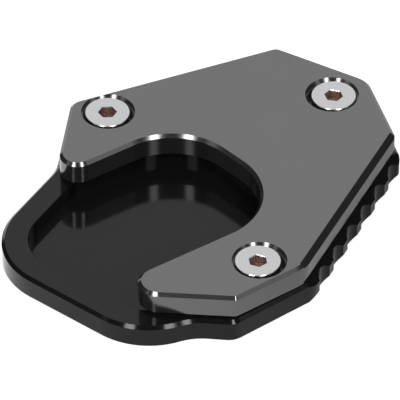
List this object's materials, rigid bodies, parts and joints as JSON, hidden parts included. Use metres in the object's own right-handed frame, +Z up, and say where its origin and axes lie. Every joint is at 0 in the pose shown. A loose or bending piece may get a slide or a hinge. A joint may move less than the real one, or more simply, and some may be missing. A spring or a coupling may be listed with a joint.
{
  "type": "kickstand foot enlarger",
  "caption": "Milled foot plate that widens the ground contact of a kickstand, with a clamp plate and an open cut-out for the stand leg.",
  "frame": {"origin": "centre of the plan outline at the underside", "axes": "+Z up out of the ground face, +Y along the cut-out from its open mouth to its closed end, +X towards the scalloped grip edge"},
  "size_m": [0.09, 0.1142, 0.0136],
  "materials": {
    "black_anodised": "satin black anodised, milled",
    "titanium_anodised": "satin titanium grey anodised, milled",
    "screw_steel": "bright plated steel"
  },
  "bodies": {
    "root": {"base_plate": "black_anodised", "clamp_plate": "titanium_anodised", "clamp_screws": "screw_steel"}
  },
  "joints": []
}
